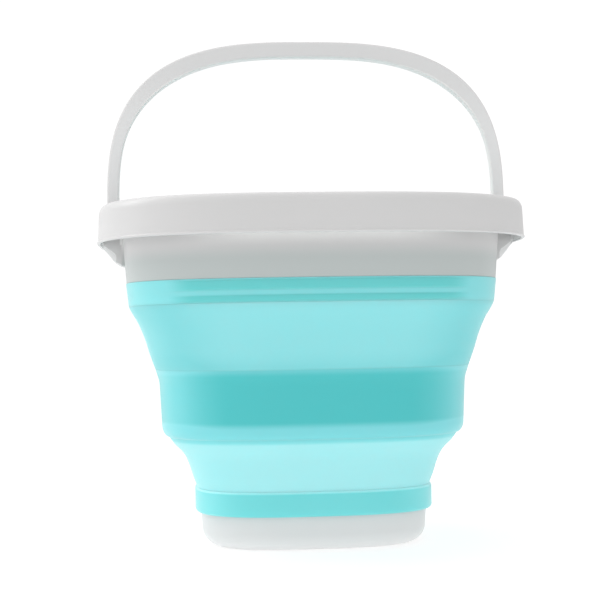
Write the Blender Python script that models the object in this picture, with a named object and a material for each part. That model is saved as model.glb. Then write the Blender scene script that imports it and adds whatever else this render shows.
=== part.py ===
"""Collapsible camp bucket: a hard rim and a hard base joined by a soft stepped body, with a swinging bail.

Lengths are in metres and +Z is up. The origin is on the floor under the middle of the bucket, and X is
the long way of its rounded, nearly rectangular plan. Every wall is a section drawn as half-widths and
heights and swept round that plan, so each ring keeps the same distance to the next on all sides.
The soft body has three stiff bands with two thin fold walls between them. Pressed down, the middle band
sinks round the base and the rim sinks round the middle band, while the fold walls turn inside out.
"""
import bpy
import bmesh
from math import atan2, copysign, cos, hypot, pi, radians, sin
from mathutils import Vector

# Plan of the bucket: a superellipse, the same distance narrower from front to back at every height
PLAN_POWER = 2.9
SIDE_DIFFERENCE = 0.0225
PLAN_COUNT = 56

# Seating gap between neighbouring pieces, and the overrun of joined and cutting solids
SEAT_GAP = 0.0003
OVERRUN = 0.002

# Heights from the floor up, one on the other
BASE_HEIGHT = 0.0252
LOWER_BAND_HEIGHT = 0.0178
LOWER_FOLD_HEIGHT = 0.038
MIDDLE_BAND_HEIGHT = 0.0488
UPPER_FOLD_HEIGHT = 0.0457
TOP_BAND_HEIGHT = 0.0164
COLLAR_HEIGHT = 0.0551

# Rim moulding: skirt, shoulder, nesting channel for the bail, inner lip and collar
RIM_HALF_WIDTH = 0.155
RIM_WALL = 0.0018
SKIRT_HEIGHT = 0.026
SKIRT_DRAFT = 0.0008
SKIRT_BEAD = 0.0006
SKIRT_BEAD_HEIGHT = 0.003
SHOULDER_WIDTH = 0.004
SHOULDER_HEIGHT = 0.007
SHOULDER_STEPS = 5
LIP_THICKNESS = 0.0046
LIP_EDGE = 0.0006
CHANNEL_WIDTH = 0.0132
CHANNEL_DEPTH = 0.011
INNER_LIP_DROP = 0.002
INNER_LIP_STEP = 0.0016
COLLAR_TAPER = 0.0028
COLLAR_WALL = 0.002
TONGUE_STEP_HEIGHT = 0.003

# Hinge of the bail: ears on the inner lip, and the sloped housings that brace them under the channel
PIVOT_DROP = 0.0015
EAR_RADIUS = 0.0062
EAR_STEPS = 12
EAR_PROUD = 0.0004
PIN_RADIUS = 0.003
PIN_CLEARANCE = 0.0004
EYE_ROUND = 0.002
EYE_GAP = 0.0005
EYE_EDGE = 0.001
PIN_HEAD_LIP = 0.0007
PIN_TIP_RADIUS = 0.0028
PIN_HEAD_LENGTH = 0.0026
PIN_SLIT = 0.0012
PIN_STEPS = 24
HOUSING_WIDTH = 0.028
HOUSING_KNEE_INSET = 0.0082
HOUSING_KNEE_DROP = 0.0105
HOUSING_HEEL_DROP = 0.0145

# Bail: a strap bent along the channel's own outline, so that it nests in the channel when laid down
BAIL_CLEARANCE = 0.0008
LEG_WIDTH = 0.008
LEG_THICKNESS = 0.0087
GRIP_WIDTH = 0.010
GRIP_THICKNESS = 0.0116
BAIL_EDGE = 0.0022
BAIL_STEPS = 44
BAIL_EDGE_STEPS = 2
GRIP_START_SHARE = 0.40
GRIP_END_SHARE = 0.92

# Top band of the soft body, moulded over the collar's tongue
TOP_BAND_PROUD = 0.0003
TOP_BAND_TAPER = 0.0017
TOP_BAND_WALL = 0.0036
TOP_BAND_HEM = 0.0066
RIB_PROUD = 0.0005
RIB_SHARES = ((0.06, 0.47), (0.69, 0.96))

# Middle band of the soft body
UPPER_FOLD_STEP = 0.0184
MIDDLE_BAND_WALL = 0.004
MIDDLE_BAND_LIP = 0.009
MIDDLE_BAND_LIP_INSET = 0.0028
MIDDLE_BAND_TAPER = 0.0014
MIDDLE_BAND_TURN = 0.0085
MIDDLE_BAND_TURN_INSET = 0.0046
MIDDLE_BAND_FOOT_WALL = 0.003
TURN_STEPS = 4

# Lower band of the soft body, moulded over the rim of the base
LOWER_FOLD_STEP = 0.0204
LOWER_BAND_WALL = 0.0042
LOWER_BAND_CAP = 0.0045
LOWER_BAND_EDGE = 0.0014

# Base moulding: a tray with a wide corner radius and a raised foot ring
BASE_DRAFT = 0.0008
BASE_WALL = 0.0022
BASE_CORNER_RADIUS = 0.0128
BASE_CORNER_STEPS = 6
FOOT_WIDTH = 0.008
FOOT_HEIGHT = 0.0015

# Thin fold walls: their own thickness, and how far each bend lies along and beside the straight wall
FOLD_WALL = 0.0014
UPPER_FOLD_SHARES = ((0.10, 0.008), (0.27, 0.032), (0.52, 0.033), (0.76, 0.012))
LOWER_FOLD_SHARES = ((0.18, 0.023), (0.31, 0.062), (0.44, 0.080), (0.60, 0.066), (0.80, 0.028))

# Levels that follow from the heights
LOWER_BAND_TOP = BASE_HEIGHT + LOWER_BAND_HEIGHT
MIDDLE_BAND_BOTTOM = LOWER_BAND_TOP + LOWER_FOLD_HEIGHT
MIDDLE_BAND_TOP = MIDDLE_BAND_BOTTOM + MIDDLE_BAND_HEIGHT
TOP_BAND_BOTTOM = MIDDLE_BAND_TOP + UPPER_FOLD_HEIGHT
COLLAR_BOTTOM = TOP_BAND_BOTTOM + TOP_BAND_HEIGHT
RIM_TOP = COLLAR_BOTTOM + COLLAR_HEIGHT
CHANNEL_FLOOR = RIM_TOP - CHANNEL_DEPTH
PIVOT_HEIGHT = RIM_TOP - PIVOT_DROP

# Half-widths that follow from the rim's, from the outside in
LIP_HALF_WIDTH = RIM_HALF_WIDTH - SKIRT_DRAFT - LIP_THICKNESS
INNER_LIP_HALF_WIDTH = LIP_HALF_WIDTH - CHANNEL_WIDTH
LIP_INNER = INNER_LIP_HALF_WIDTH - COLLAR_WALL
COLLAR_TOP_HALF_WIDTH = INNER_LIP_HALF_WIDTH + INNER_LIP_STEP
COLLAR_HALF_WIDTH = COLLAR_TOP_HALF_WIDTH - COLLAR_TAPER
TONGUE_HALF_WIDTH = COLLAR_HALF_WIDTH - COLLAR_WALL
TOP_BAND_HALF_WIDTH = COLLAR_HALF_WIDTH + TOP_BAND_PROUD
TOP_BAND_BOTTOM_HALF_WIDTH = TOP_BAND_HALF_WIDTH - TOP_BAND_TAPER
MIDDLE_BAND_HALF_WIDTH = TOP_BAND_BOTTOM_HALF_WIDTH - UPPER_FOLD_STEP
MIDDLE_BAND_WAIST = MIDDLE_BAND_HALF_WIDTH - MIDDLE_BAND_LIP_INSET
MIDDLE_BAND_LOW_HALF_WIDTH = MIDDLE_BAND_WAIST - MIDDLE_BAND_TAPER
MIDDLE_BAND_FOOT_HALF_WIDTH = MIDDLE_BAND_LOW_HALF_WIDTH - MIDDLE_BAND_TURN_INSET
LOWER_BAND_NECK = MIDDLE_BAND_FOOT_HALF_WIDTH - LOWER_FOLD_STEP
LOWER_BAND_HALF_WIDTH = LOWER_BAND_NECK + LOWER_BAND_EDGE
BASE_HALF_WIDTH = LOWER_BAND_HALF_WIDTH - LOWER_BAND_WALL

# The bail and its hinge, fitted to the channel
BAIL_HALF_WIDTH = LIP_HALF_WIDTH - BAIL_CLEARANCE
BAIL_REACH = BAIL_HALF_WIDTH - SIDE_DIFFERENCE
EYE_RADIUS = LEG_WIDTH / 2 + EYE_ROUND
EYE_INNER = BAIL_HALF_WIDTH - LEG_THICKNESS
EAR_OUTER = EYE_INNER - EYE_GAP
EAR_INNER = LIP_INNER - EAR_PROUD
BORE_RADIUS = PIN_RADIUS + PIN_CLEARANCE

# Travel of the two folds, down to a small clearance above the floor, and swing of the bail
GROUND_CLEARANCE = 0.003
LOWER_FOLD_TRAVEL = MIDDLE_BAND_BOTTOM - GROUND_CLEARANCE
UPPER_FOLD_TRAVEL = TOP_BAND_BOTTOM - MIDDLE_BAND_BOTTOM
BAIL_SWING = radians(90)

# Edges sharper than this stay crisp in the shading
SHARP_ANGLE = radians(32)

# Colours as linear red, green, blue
GREY = (0.62, 0.64, 0.64, 1.0)
AQUA = (0.10, 0.56, 0.58, 1.0)
PALE_AQUA = (0.36, 0.80, 0.82, 1.0)


def clear_scene():
    """Remove every object that the file starts with."""
    for old_object in list(bpy.data.objects):
        bpy.data.objects.remove(old_object, do_unlink=True)


def new_collection(name):
    """Make a collection in the scene."""
    collection = bpy.data.collections.new(name)
    bpy.context.scene.collection.children.link(collection)
    return collection


def new_material(name, colour, roughness):
    """Make a plain plastic material."""
    material = bpy.data.materials.new(name)
    material.use_nodes = True
    shader = material.node_tree.nodes["Principled BSDF"]
    shader.inputs["Base Color"].default_value = colour
    shader.inputs["Roughness"].default_value = roughness
    shader.inputs["Metallic"].default_value = 0.0
    return material


def new_joint(name, height, parent=None):
    """Make an empty on a joint's axis, at a height above the floor."""
    joint = bpy.data.objects.new(name, None)
    PARTS.objects.link(joint)
    joint.parent = parent
    joint.location.z = height - (parent.matrix_world.translation.z if parent else 0.0)
    bpy.context.view_layer.update()
    return joint


def limit_slide(joint, travel):
    """Let a joint sink from where it stands by its travel, and no further."""
    limit = joint.constraints.new('LIMIT_LOCATION')
    limit.owner_space = 'LOCAL'
    limit.use_min_z = True
    limit.use_max_z = True
    limit.min_z = joint.location.z - travel
    limit.max_z = joint.location.z


def limit_swing(joint, swing):
    """Let a joint turn about X by the same angle to both sides."""
    limit = joint.constraints.new('LIMIT_ROTATION')
    limit.owner_space = 'LOCAL'
    limit.use_limit_x = True
    limit.min_x = -swing
    limit.max_x = swing


def new_object(name, bm, collection, height=0.0):
    """Turn a bmesh drawn in heights above the floor into an object whose origin is at one height."""
    bmesh.ops.recalc_face_normals(bm, faces=bm.faces)
    bmesh.ops.translate(bm, verts=bm.verts, vec=(0.0, 0.0, -height))
    mesh = bpy.data.meshes.new(name)
    bm.to_mesh(mesh)
    bm.free()
    new = bpy.data.objects.new(name, mesh)
    collection.objects.link(new)
    new.location = (0.0, 0.0, height)
    return new


def finish_part(part, colour, roughness, joint=None):
    """Give a piece its own material and smooth shading, and hang it on its joint."""
    part.data.materials.clear()
    part.data.materials.append(new_material(part.name, colour, roughness))
    part.data.shade_smooth()
    part.data.set_sharp_from_angle(angle=SHARP_ANGLE)
    if joint:
        part.parent = joint
        part.location.z -= joint.matrix_world.translation.z
    return part


def apply_solid(part, solid, operation):
    """Join a solid to a part, or cut it away, and keep the solid as a wire guide."""
    solid.hide_render = True
    solid.display_type = 'WIRE'
    modifier = part.modifiers.new(solid.name, 'BOOLEAN')
    modifier.operation = operation
    modifier.solver = 'EXACT'
    modifier.object = solid


def arc(centre, radius, start, end, steps, rise=None):
    """Points of an arc in a section, from one angle to another, both ends included. A rise makes it oval."""
    turn = (end - start) / steps
    return [(centre[0] + radius * cos(start + turn * i), centre[1] + (rise or radius) * sin(start + turn * i))
            for i in range(steps + 1)]


def plan_position(half_width, angle):
    """Where the plan curve of one half-width lies at one angle."""
    across = copysign(abs(cos(angle)) ** (2 / PLAN_POWER), cos(angle))
    along = copysign(abs(sin(angle)) ** (2 / PLAN_POWER), sin(angle))
    return half_width * across, (half_width - SIDE_DIFFERENCE) * along


def sweep_section(name, section, height, collection=None, closed=True):
    """Spin a section of half-widths and heights, then bring each circle to the bucket's plan."""
    bm = bmesh.new()
    verts = [bm.verts.new((half_width, 0.0, z)) for half_width, z in section]
    pairs = list(zip(verts, verts[1:] + verts[:1]))
    edges = [bm.edges.new(pair) for pair in (pairs if closed else pairs[:-1])]
    bmesh.ops.spin(bm, geom=verts + edges, cent=(0.0, 0.0, 0.0), axis=(0.0, 0.0, 1.0),
                   angle=2 * pi, steps=PLAN_COUNT, use_merge=True)
    if not closed:
        bmesh.ops.holes_fill(bm, edges=[edge for edge in bm.edges if edge.is_boundary], sides=0)
    for vert in bm.verts:
        radius = hypot(vert.co.x, vert.co.y)
        vert.co.x, vert.co.y = plan_position(radius, atan2(vert.co.y, vert.co.x))
    return new_object(name, bm, collection or PARTS, height)


def extruded(name, outline, travel):
    """A flat outline drawn out into a solid along one vector."""
    bm = bmesh.new()
    face = bm.faces.new([bm.verts.new(point) for point in outline])
    grown = bmesh.ops.extrude_face_region(bm, geom=[face])
    moved = [item for item in grown["geom"] if isinstance(item, bmesh.types.BMVert)]
    bmesh.ops.translate(bm, verts=moved, vec=travel)
    return new_object(name, bm, GUIDES)


def prism(name, outline, half_length, side=1):
    """An outline in X and Z, drawn out to both sides along Y; side -1 puts it on the -X side."""
    places = [(side * x, -half_length, z) for x, z in outline]
    return extruded(name, places, (0.0, 2 * half_length, 0.0))


def turned_on_pivot(name, section, side=1):
    """A section of (x, radius) points turned about the bail's axis."""
    bm = bmesh.new()
    verts = [bm.verts.new((side * x, 0.0, PIVOT_HEIGHT + radius)) for x, radius in section]
    edges = [bm.edges.new(pair) for pair in zip(verts, verts[1:])]
    bmesh.ops.spin(bm, geom=verts + edges, cent=(0.0, 0.0, PIVOT_HEIGHT), axis=(1.0, 0.0, 0.0),
                   angle=2 * pi, steps=PIN_STEPS, use_merge=True)
    bmesh.ops.remove_doubles(bm, verts=bm.verts, dist=SEAT_GAP / 10)
    return new_object(name, bm, GUIDES)


def rim_section():
    """Section of the rim: beaded skirt, round shoulder, channel, inner lip, collar and tongue."""
    skirt_bottom = RIM_TOP - SKIRT_HEIGHT
    skirt_top = RIM_HALF_WIDTH - SKIRT_DRAFT
    inner_lip_top = RIM_TOP - INNER_LIP_DROP
    tongue_inner = TONGUE_HALF_WIDTH - COLLAR_WALL
    tongue_bottom = TOP_BAND_BOTTOM + TOP_BAND_HEM + SEAT_GAP
    lip_back = LIP_HALF_WIDTH + RIM_WALL
    skirt_back = skirt_top - RIM_WALL
    gap_top = RIM_TOP - SHOULDER_HEIGHT
    shoulder = arc((skirt_top - SHOULDER_WIDTH, gap_top), SHOULDER_WIDTH, 0.0, pi / 2, SHOULDER_STEPS,
                   SHOULDER_HEIGHT)
    return [
        (RIM_HALF_WIDTH - RIM_WALL, skirt_bottom),
        (RIM_HALF_WIDTH, skirt_bottom),
        (RIM_HALF_WIDTH + SKIRT_BEAD, skirt_bottom + SKIRT_BEAD),
        (RIM_HALF_WIDTH + SKIRT_BEAD, skirt_bottom + SKIRT_BEAD_HEIGHT - SKIRT_BEAD),
        (RIM_HALF_WIDTH, skirt_bottom + SKIRT_BEAD_HEIGHT),
        *shoulder,
        (LIP_HALF_WIDTH, RIM_TOP - LIP_EDGE),
        (LIP_HALF_WIDTH, CHANNEL_FLOOR),
        (INNER_LIP_HALF_WIDTH, CHANNEL_FLOOR),
        (INNER_LIP_HALF_WIDTH, inner_lip_top - LIP_EDGE),
        (INNER_LIP_HALF_WIDTH - LIP_EDGE, inner_lip_top),
        (LIP_INNER + LIP_EDGE, inner_lip_top),
        (LIP_INNER, inner_lip_top - LIP_EDGE),
        (TONGUE_HALF_WIDTH, COLLAR_BOTTOM + TONGUE_STEP_HEIGHT),
        (tongue_inner, COLLAR_BOTTOM),
        (tongue_inner, tongue_bottom),
        (TONGUE_HALF_WIDTH, tongue_bottom),
        (TONGUE_HALF_WIDTH, COLLAR_BOTTOM),
        (COLLAR_HALF_WIDTH, COLLAR_BOTTOM),
        (COLLAR_TOP_HALF_WIDTH, CHANNEL_FLOOR - RIM_WALL),
        (lip_back, CHANNEL_FLOOR - RIM_WALL),
        (lip_back, gap_top),
        (skirt_back, gap_top),
    ]


def make_rim(joint):
    """The rim moulding with its two ears and the sloped housings below them."""
    rim = sweep_section("rim_frame", rim_section(), COLLAR_BOTTOM)
    skirt_bottom = RIM_TOP - SKIRT_HEIGHT
    inside_floor = CHANNEL_FLOOR - RIM_WALL / 2
    inside_collar = COLLAR_HALF_WIDTH - COLLAR_WALL / 2
    inside_skirt = RIM_HALF_WIDTH - RIM_WALL / 2
    housing = [
        (inside_collar, skirt_bottom - HOUSING_HEEL_DROP),
        (RIM_HALF_WIDTH - RIM_WALL - HOUSING_KNEE_INSET, skirt_bottom - HOUSING_KNEE_DROP),
        (inside_skirt, skirt_bottom + SKIRT_BEAD),
        (inside_skirt - SKIRT_DRAFT, inside_floor),
        (COLLAR_TOP_HALF_WIDTH - COLLAR_WALL / 2, inside_floor),
    ]
    ear = [(-EAR_RADIUS, inside_floor), (EAR_RADIUS, inside_floor),
           *arc((0.0, PIVOT_HEIGHT), EAR_RADIUS, 0.0, pi, EAR_STEPS)]
    bore = [
        (EAR_INNER - OVERRUN, 0.0),
        (EAR_INNER - OVERRUN, BORE_RADIUS),
        (EAR_OUTER + OVERRUN, BORE_RADIUS),
        (EAR_OUTER + OVERRUN, 0.0),
    ]
    for side, word in ((-1, "left"), (1, "right")):
        apply_solid(rim, prism(word + "_housing", housing, HOUSING_WIDTH / 2, side), 'UNION')
        places = [(side * EAR_INNER, y, z) for y, z in ear]
        tab = extruded(word + "_ear", places, (side * (EAR_OUTER - EAR_INNER), 0.0, 0.0))
        apply_solid(rim, tab, 'UNION')
        apply_solid(rim, turned_on_pivot(word + "_ear_bore", bore, side), 'DIFFERENCE')
    return finish_part(rim, GREY, 0.35, joint)


def make_top_band(joint):
    """The soft body's top band, wrapped round and under the collar's tongue, with two low ribs."""
    top = COLLAR_BOTTOM - SEAT_GAP
    against_tongue = TONGUE_HALF_WIDTH + SEAT_GAP
    under_tongue = TOP_BAND_BOTTOM + TOP_BAND_HEM
    height = top - TOP_BAND_BOTTOM
    outer = [(TOP_BAND_HALF_WIDTH, top)]
    for start_share, end_share in RIB_SHARES:
        rib_top = top - height * start_share
        rib_bottom = top - height * end_share
        for z, proud in ((rib_top, 0.0), (rib_top - RIB_PROUD, RIB_PROUD),
                         (rib_bottom + RIB_PROUD, RIB_PROUD), (rib_bottom, 0.0)):
            outer.append((TOP_BAND_HALF_WIDTH - TOP_BAND_TAPER * (top - z) / height + proud, z))
    section = [
        *outer,
        (TOP_BAND_BOTTOM_HALF_WIDTH, TOP_BAND_BOTTOM),
        (TOP_BAND_BOTTOM_HALF_WIDTH - TOP_BAND_WALL, TOP_BAND_BOTTOM),
        (TOP_BAND_BOTTOM_HALF_WIDTH - TOP_BAND_WALL, under_tongue),
        (against_tongue, under_tongue),
        (against_tongue, top),
    ]
    return finish_part(sweep_section("top_band", section, TOP_BAND_BOTTOM), AQUA, 0.45, joint)


def make_middle_band(joint):
    """The stiff middle band, with a thickened upper lip and a lower edge that turns under."""
    turn_top = MIDDLE_BAND_BOTTOM + MIDDLE_BAND_TURN
    turned = [(MIDDLE_BAND_LOW_HALF_WIDTH - MIDDLE_BAND_TURN_INSET * (1 - cos(angle)),
               turn_top - MIDDLE_BAND_TURN * sin(angle))
              for angle in (pi / 2 * step / TURN_STEPS for step in range(TURN_STEPS + 1))]
    section = [
        (MIDDLE_BAND_HALF_WIDTH, MIDDLE_BAND_TOP),
        (MIDDLE_BAND_WAIST, MIDDLE_BAND_TOP - MIDDLE_BAND_LIP),
        *turned,
        (MIDDLE_BAND_FOOT_HALF_WIDTH - MIDDLE_BAND_FOOT_WALL, MIDDLE_BAND_BOTTOM),
        (MIDDLE_BAND_LOW_HALF_WIDTH - MIDDLE_BAND_WALL, turn_top),
        (MIDDLE_BAND_WAIST - MIDDLE_BAND_WALL, MIDDLE_BAND_TOP - MIDDLE_BAND_LIP),
        (MIDDLE_BAND_HALF_WIDTH - MIDDLE_BAND_WALL, MIDDLE_BAND_TOP),
    ]
    return finish_part(sweep_section("middle_band", section, MIDDLE_BAND_BOTTOM), AQUA, 0.45, joint)


def make_lower_band():
    """The lowest band, wrapped round and over the upstanding wall of the base."""
    against_base = BASE_HALF_WIDTH + SEAT_GAP
    over_base = LOWER_BAND_TOP - LOWER_BAND_CAP
    section = [
        (LOWER_BAND_NECK, LOWER_BAND_TOP),
        (LOWER_BAND_HALF_WIDTH, LOWER_BAND_TOP - LOWER_BAND_EDGE),
        (LOWER_BAND_HALF_WIDTH, BASE_HEIGHT + LOWER_BAND_EDGE),
        (LOWER_BAND_NECK, BASE_HEIGHT),
        (against_base, BASE_HEIGHT),
        (against_base, over_base),
        (BASE_HALF_WIDTH - BASE_WALL, over_base),
        (BASE_HALF_WIDTH - BASE_WALL, LOWER_BAND_TOP),
    ]
    return finish_part(sweep_section("lower_band", section, BASE_HEIGHT), AQUA, 0.45)


def make_base():
    """The base tray: upstanding wall, round lower corner, foot ring and recessed floor."""
    wall_top = LOWER_BAND_TOP - LOWER_BAND_CAP - SEAT_GAP
    bottom_half_width = BASE_HALF_WIDTH - BASE_DRAFT
    corner = (bottom_half_width - BASE_CORNER_RADIUS, BASE_CORNER_RADIUS)
    foot_inner = corner[0] - FOOT_WIDTH
    outer_corner = arc(corner, BASE_CORNER_RADIUS, 0.0, -pi / 2, BASE_CORNER_STEPS)
    floor_top = FOOT_HEIGHT + BASE_WALL
    inner_radius = BASE_CORNER_RADIUS - floor_top
    inner_corner = arc((corner[0] + floor_top - BASE_WALL, corner[1]), inner_radius,
                       -pi / 2, 0.0, BASE_CORNER_STEPS)
    section = [
        (foot_inner - FOOT_HEIGHT, FOOT_HEIGHT),
        (foot_inner, 0.0),
        *reversed(outer_corner),
        (BASE_HALF_WIDTH, BASE_HEIGHT - SEAT_GAP),
        (BASE_HALF_WIDTH, wall_top),
        (BASE_HALF_WIDTH - BASE_WALL, wall_top),
        *reversed(inner_corner),
    ]
    base = sweep_section("base_tray", section, 0.0, closed=False)
    return finish_part(base, GREY, 0.35)


def fold_section(top, bottom, shares):
    """Section of a thin wall between two outer points, bowed at the places given as shares of its run."""
    run = Vector(bottom) - Vector(top)
    inward = Vector((run.y, -run.x))
    points = [Vector(top)]
    points += [Vector(top) + run * along + inward * aside for along, aside in shares]
    points.append(Vector(bottom))
    inner = []
    for index, point in enumerate(points):
        before = points[max(index - 1, 0)]
        after = points[min(index + 1, len(points) - 1)]
        slope = (after - before).normalized()
        inner.append(point + Vector((slope.y, -slope.x)) * FOLD_WALL)
    inner[0].y = points[0].y
    inner[-1].y = points[-1].y
    return [tuple(point) for point in points] + [tuple(point) for point in reversed(inner)]


def make_upper_fold(joint):
    """The upper fold wall, between the top band and the middle band."""
    top = (TOP_BAND_BOTTOM_HALF_WIDTH, TOP_BAND_BOTTOM - SEAT_GAP)
    bottom = (MIDDLE_BAND_HALF_WIDTH, MIDDLE_BAND_TOP + SEAT_GAP)
    section = fold_section(top, bottom, UPPER_FOLD_SHARES)
    return finish_part(sweep_section("upper_fold_wall", section, bottom[1]), PALE_AQUA, 0.4, joint)


def make_lower_fold():
    """The lower fold wall, between the middle band's turned edge and the lower band."""
    top = (MIDDLE_BAND_FOOT_HALF_WIDTH, MIDDLE_BAND_BOTTOM - SEAT_GAP)
    bottom = (LOWER_BAND_NECK, LOWER_BAND_TOP + SEAT_GAP)
    section = fold_section(top, bottom, LOWER_FOLD_SHARES)
    return finish_part(sweep_section("lower_fold_wall", section, bottom[1]), PALE_AQUA, 0.4)


def bail_loop(angle):
    """Corner points of the strap's section at one angle of its arch, leg to grip."""
    across = copysign(abs(cos(angle)) ** (2 / PLAN_POWER), cos(angle))
    rise = abs(sin(angle)) ** (2 / PLAN_POWER)
    share = min(max((rise - GRIP_START_SHARE) / (GRIP_END_SHARE - GRIP_START_SHARE), 0.0), 1.0)
    share = share * share * (3 - 2 * share)
    width = LEG_WIDTH + (GRIP_WIDTH - LEG_WIDTH) * share
    thickness = LEG_THICKNESS + (GRIP_THICKNESS - LEG_THICKNESS) * share
    loop = []
    for depth, side, start in ((BAIL_EDGE, 1, 0), (thickness - BAIL_EDGE, 1, 1),
                               (thickness - BAIL_EDGE, -1, 2), (BAIL_EDGE, -1, 3)):
        for step in range(BAIL_EDGE_STEPS + 1):
            turn = pi / 2 * (start + step / BAIL_EDGE_STEPS)
            inset = depth - BAIL_EDGE * cos(turn)
            y = side * (width / 2 - BAIL_EDGE) + BAIL_EDGE * sin(turn)
            loop.append(((BAIL_HALF_WIDTH - inset) * across, y,
                         PIVOT_HEIGHT + (BAIL_REACH - inset) * rise))
    return loop


def make_bail(joint):
    """The bail: a strap lofted round its arch, with an eye and a split snap pin at each end."""
    bm = bmesh.new()
    loops = [[bm.verts.new(place) for place in bail_loop(pi * step / BAIL_STEPS)]
             for step in range(BAIL_STEPS + 1)]
    for near, far in zip(loops, loops[1:]):
        for index, vert in enumerate(near):
            following = (index + 1) % len(near)
            bm.faces.new((vert, near[following], far[following], far[index]))
    bm.faces.new(loops[0])
    bm.faces.new(loops[-1])
    bail = new_object("bail_handle", bm, PARTS, PIVOT_HEIGHT)
    head_face = EAR_INNER - SEAT_GAP
    tip = head_face - PIN_HEAD_LENGTH
    eye = [
        (BAIL_HALF_WIDTH - EYE_EDGE / 2, 0.0),
        (BAIL_HALF_WIDTH - EYE_EDGE / 2, EYE_RADIUS - EYE_EDGE),
        (BAIL_HALF_WIDTH - EYE_EDGE * 3 / 2, EYE_RADIUS),
        (EYE_INNER + EYE_EDGE / 2, EYE_RADIUS),
        (EYE_INNER, EYE_RADIUS - EYE_EDGE / 2),
        (EYE_INNER, PIN_RADIUS),
        (head_face, PIN_RADIUS),
        (head_face, BORE_RADIUS + PIN_HEAD_LIP),
        (tip, PIN_TIP_RADIUS),
        (tip, 0.0),
    ]
    slit = [
        (tip - OVERRUN, PIVOT_HEIGHT - PIN_SLIT / 2),
        (tip - OVERRUN, PIVOT_HEIGHT + PIN_SLIT / 2),
        (EAR_OUTER - COLLAR_WALL, PIVOT_HEIGHT + PIN_SLIT / 2),
        (EAR_OUTER - COLLAR_WALL, PIVOT_HEIGHT - PIN_SLIT / 2),
    ]
    for side, word in ((-1, "left"), (1, "right")):
        apply_solid(bail, turned_on_pivot(word + "_eye", eye, side), 'UNION')
        apply_solid(bail, prism(word + "_pin_slit", slit, BORE_RADIUS + OVERRUN, side), 'DIFFERENCE')
    return finish_part(bail, GREY, 0.35, joint)


clear_scene()
PARTS = new_collection("collapsible_camp_bucket")
GUIDES = new_collection("cutters")
lower_slide = new_joint("lower_fold_slide", MIDDLE_BAND_BOTTOM)
upper_slide = new_joint("upper_fold_slide", TOP_BAND_BOTTOM, lower_slide)
bail_pivot = new_joint("bail_pivot", PIVOT_HEIGHT, upper_slide)
limit_slide(lower_slide, LOWER_FOLD_TRAVEL)
limit_slide(upper_slide, UPPER_FOLD_TRAVEL)
limit_swing(bail_pivot, BAIL_SWING)

make_base()
make_lower_band()
make_lower_fold()
make_middle_band(lower_slide)
make_upper_fold(lower_slide)
make_top_band(upper_slide)
make_rim(upper_slide)
make_bail(bail_pivot)
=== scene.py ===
"""Collapsible camp bucket: a hard grey rim and base, a soft aqua body that folds between them, and a bail."""

import bpy
import bmesh
from math import atan2, copysign, cos, hypot, pi, radians, sin
from mathutils import Matrix, Vector


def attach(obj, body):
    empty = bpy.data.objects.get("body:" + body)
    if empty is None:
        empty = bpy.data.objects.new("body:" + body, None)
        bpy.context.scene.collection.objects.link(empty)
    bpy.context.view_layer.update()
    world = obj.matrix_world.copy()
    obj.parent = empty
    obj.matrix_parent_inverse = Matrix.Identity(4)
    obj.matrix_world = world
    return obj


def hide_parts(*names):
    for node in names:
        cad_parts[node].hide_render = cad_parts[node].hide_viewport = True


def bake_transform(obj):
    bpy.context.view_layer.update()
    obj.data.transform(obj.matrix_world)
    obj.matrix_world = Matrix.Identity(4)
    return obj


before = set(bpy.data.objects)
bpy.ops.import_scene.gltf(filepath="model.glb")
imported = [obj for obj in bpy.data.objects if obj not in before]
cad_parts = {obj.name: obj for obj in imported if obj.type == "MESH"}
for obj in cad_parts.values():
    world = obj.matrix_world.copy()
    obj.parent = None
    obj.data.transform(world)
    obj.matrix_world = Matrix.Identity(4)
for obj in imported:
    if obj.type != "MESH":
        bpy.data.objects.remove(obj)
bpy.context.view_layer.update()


# The base tray
# A hard polypropylene moulding that the bucket stands on: an upstanding wall that the soft body grips,
# a wide round corner and a flat foot ring. It was injected through one gate under its floor.
PLAN_POWER = 2.9
SIDE_DIFFERENCE = 0.0225
PLAN_STEPS = 192
ROUND_STEPS = 4
CREASE = radians(40)


def plan_place(half_width, angle):
    """Where the bucket's plan curve of one half-width lies at one angle."""
    across = copysign(abs(cos(angle)) ** (2 / PLAN_POWER), cos(angle))
    along = copysign(abs(sin(angle)) ** (2 / PLAN_POWER), sin(angle))
    return half_width * across, (half_width - SIDE_DIFFERENCE) * along


def arc(centre, radius, start, end, steps, rise=None):
    """Points of an arc in a section, both ends included, with no rounding of their own. A rise makes it
    oval."""
    turn = (end - start) / steps
    return [(centre[0] + radius * cos(start + turn * i),
             centre[1] + (rise or radius) * sin(start + turn * i), 0.0) for i in range(steps + 1)]


def draw_section(bm, section, place, closed=True):
    """Draw a section as a wire and round its corners. A point is (across, up, how far its rounding
    reaches)."""
    verts = [bm.verts.new(place(across, up)) for across, up, _ in section]
    pairs = list(zip(verts, verts[1:] + verts[:1]))
    for pair in (pairs if closed else pairs[:-1]):
        bm.edges.new(pair)
    reaches = [reach for _, _, reach in section]
    for reach in sorted(set(reaches) - {0.0}):
        corners = [vert for vert, own in zip(verts, reaches) if own == reach]
        bmesh.ops.bevel(bm, geom=corners, offset=reach, offset_type='OFFSET', segments=ROUND_STEPS,
                        profile=0.5, affect='VERTICES', material=-1)


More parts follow.
